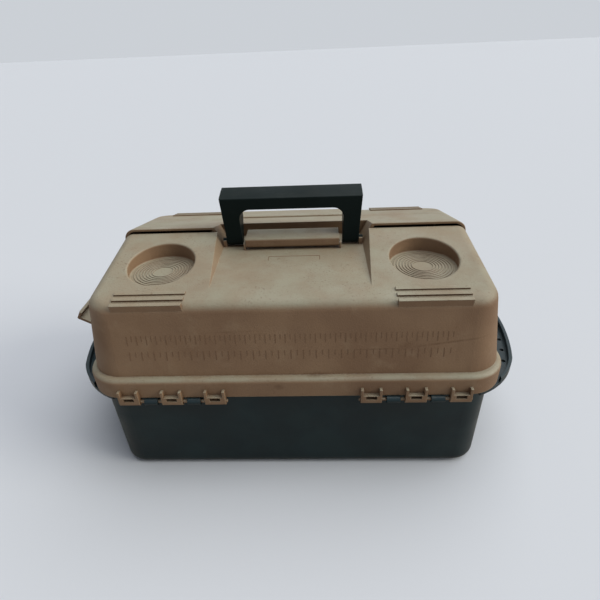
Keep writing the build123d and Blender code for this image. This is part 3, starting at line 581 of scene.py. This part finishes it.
ruler = bmesh.new()
ruler_row(ruler, CENTIMETRE_ROW_Z, CENTIMETRE / 2, (LONG_TICK, SHORT_TICK))
ruler_row(ruler, INCH_ROW_Z, INCH / 4, (LONG_TICK, SHORT_TICK))
print(len(ruler.verts) // BAR_CORNERS, "ticks")
finish_marks(ruler, "lid_ruler")

# %% [markdown]
# ## Bracket line
#
# In the hollow, a fine line with two short legs marks where the handle rests when it is folded. Three bars
# laid from above follow the floor of the hollow.

# %% Bracket line
BRACKET_LEFT, BRACKET_RIGHT = -26 * MM, 31 * MM
BRACKET_Y, BRACKET_LEG = -38 * MM, 9 * MM
bracket = bmesh.new()
corner_left, corner_right = Vector((BRACKET_LEFT, BRACKET_Y, 0)), Vector((BRACKET_RIGHT, BRACKET_Y, 0))
leg = Vector((0, -BRACKET_LEG, 0))
bracket_path = [corner_left + leg, corner_left, corner_right, corner_right + leg]
for start, end in zip(bracket_path, bracket_path[1:]):
    add_bar(bracket, start, end, DOWNWARD, MARK_WIDTH)
finish_marks(bracket, "hollow_bracket_line")
print("bracket line", round((BRACKET_RIGHT - BRACKET_LEFT) / MM), "mm wide")

# %% [markdown]
# ## Floor
#
# The box stands on a plain pale sheet. A flat grid, large enough to reach the horizon, is all it takes.
# The camera sees the sheet in a cool pale tint, and the light that it throws back on the box is duller,
# so the front of the box keeps its shade.

# %% Floor
FLOOR_SIZE, FLOOR_CELLS = 24.0, 8
SHEET_FIBRE = 3 * MM
SHEET_SEEN = colour(0.68, 0.72, 0.80)
SHEET_BOUNCE = colour(0.42, 0.40, 0.38)


def pale_sheet():
    """Matte pale sheet, whose tint stays out of the light that it throws back on the box."""
    material, tree, shader = start_material("pale_sheet")
    seen = tree.nodes.new("ShaderNodeLightPath").outputs["Is Camera Ray"]
    feed(tree, shader.inputs["Base Color"], lay_over(tree, seen, SHEET_BOUNCE, SHEET_SEEN))
    fibres = bump(tree, noise(tree, coordinates(tree), SHEET_FIBRE, 2.0), 0.0004, 0.1)
    feed(tree, shader.inputs["Normal"], fibres)
    shader.inputs["Roughness"].default_value = 0.8
    shader.inputs["Specular IOR Level"].default_value = 0.2
    return material


bpy.ops.mesh.primitive_grid_add(x_subdivisions=FLOOR_CELLS, y_subdivisions=FLOOR_CELLS, size=FLOOR_SIZE)
floor = bpy.context.object
floor.name = "floor"
floor.data.materials.append(pale_sheet())
print("floor", FLOOR_SIZE, "m wide")

# %% [markdown]
# ## Light
#
# Soft light from above, a little behind and to the right, leaves the roof light and the front in its own
# shade. A lamp near the box would leave a bright pool on the sheet, so both lights are suns: a large soft
# one overhead, and a low warm one for the right end.

# %% Suns
SUN_TURN = Euler((radians(-10), radians(18), 0))
SUN_SPREAD, SUN_STRENGTH = radians(70), 2.0
SUN_TINT = (1.0, 0.985, 0.95)
LOW_SUN_FROM = Vector((2.4, -0.4, 1.2))
LOW_SUN_SPREAD, LOW_SUN_STRENGTH = radians(31), 1.5
LOW_SUN_TINT = (1.0, 0.95, 0.82)


def add_sun(name, turn, strength, spread, tint):
    """Sun that shines along its own -Z after the turn, softer for a wider spread."""
    sun = bpy.data.lights.new(name, "SUN")
    sun.energy = strength
    sun.angle = spread
    sun.color = tint
    placed = bpy.data.objects.new(name, sun)
    placed.rotation_euler = turn
    bpy.context.scene.collection.objects.link(placed)


low_sun_turn = (-LOW_SUN_FROM).to_track_quat("-Z", "Y").to_euler()
add_sun("soft_sun", SUN_TURN, SUN_STRENGTH, SUN_SPREAD, SUN_TINT)
add_sun("low_sun", low_sun_turn, LOW_SUN_STRENGTH, LOW_SUN_SPREAD, LOW_SUN_TINT)
print("suns of", SUN_STRENGTH, "and", LOW_SUN_STRENGTH, "watts per square metre")

# %% [markdown]
# ## Sky
#
# A dim sky fills the shadows. A sky as pale as the background would wash the box out, so the world shows
# its pale background only to the camera and in mirrors, and lights the box with the dim one.

# %% Sky
SKY_TINT, SKY_STRENGTH = colour(0.90, 0.95, 1.0), 0.16
BACKGROUND = colour(0.60, 0.63, 0.67)


def pale_world():
    """Dim sky for the light, and a pale background where the camera or a mirror looks at it."""
    world = bpy.data.worlds.new("pale_world")
    world.use_nodes = True
    tree = world.node_tree
    tree.nodes.clear()
    path = tree.nodes.new("ShaderNodeLightPath").outputs
    seen = compute(tree, "MAXIMUM", path["Is Camera Ray"],
                   compute(tree, "MAXIMUM", path["Is Glossy Ray"], path["Is Transmission Ray"]))
    sky, background = tree.nodes.new("ShaderNodeBackground"), tree.nodes.new("ShaderNodeBackground")
    sky.inputs["Color"].default_value = SKY_TINT
    sky.inputs["Strength"].default_value = SKY_STRENGTH
    background.inputs["Color"].default_value = BACKGROUND
    choose, output = tree.nodes.new("ShaderNodeMixShader"), tree.nodes.new("ShaderNodeOutputWorld")
    tree.links.new(seen, choose.inputs[0])
    tree.links.new(sky.outputs[0], choose.inputs[1])
    tree.links.new(background.outputs[0], choose.inputs[2])
    tree.links.new(choose.outputs[0], output.inputs["Surface"])
    return world


bpy.context.scene.world = pale_world()
bpy.context.scene.view_settings.view_transform = "Standard"
print("sky of", SKY_STRENGTH, "behind a pale background")

# %% [markdown]
# ## Camera
#
# The camera stands where a person would hold it, at arm's length and looking down at 32 degrees, with
# a wide lens and a slight tilt of the hand. Its axes are worked out from these three angles, because a
# tracking constraint would lose the tilt.

# %% Camera
CAMERA_PLACE = Vector((27.75, -475.42, 441.38)) * MM
CAMERA_PITCH, CAMERA_YAW, CAMERA_ROLL = radians(32.0), radians(-2.74), radians(-2.59)
SENSOR, FOCAL_PIXELS, IMAGE_PIXELS = 36.0, 432.95, 600

camera_data = bpy.data.cameras.new("camera")
camera_data.sensor_width = SENSOR
camera_data.lens = SENSOR * FOCAL_PIXELS / IMAGE_PIXELS
camera = bpy.data.objects.new("camera", camera_data)
ahead = Vector((sin(CAMERA_YAW) * cos(CAMERA_PITCH), cos(CAMERA_YAW) * cos(CAMERA_PITCH), -sin(CAMERA_PITCH)))
level = Vector((cos(CAMERA_YAW), -sin(CAMERA_YAW), 0))
upward = level.cross(ahead)
right = level * cos(CAMERA_ROLL) + upward * sin(CAMERA_ROLL)
top = upward * cos(CAMERA_ROLL) - level * sin(CAMERA_ROLL)
camera.matrix_world = Matrix.Translation(CAMERA_PLACE) @ Matrix((right, top, -ahead)).transposed().to_4x4()
bpy.context.scene.collection.objects.link(camera)
bpy.context.scene.camera = camera
print("camera lens", round(camera_data.lens, 2), "mm")
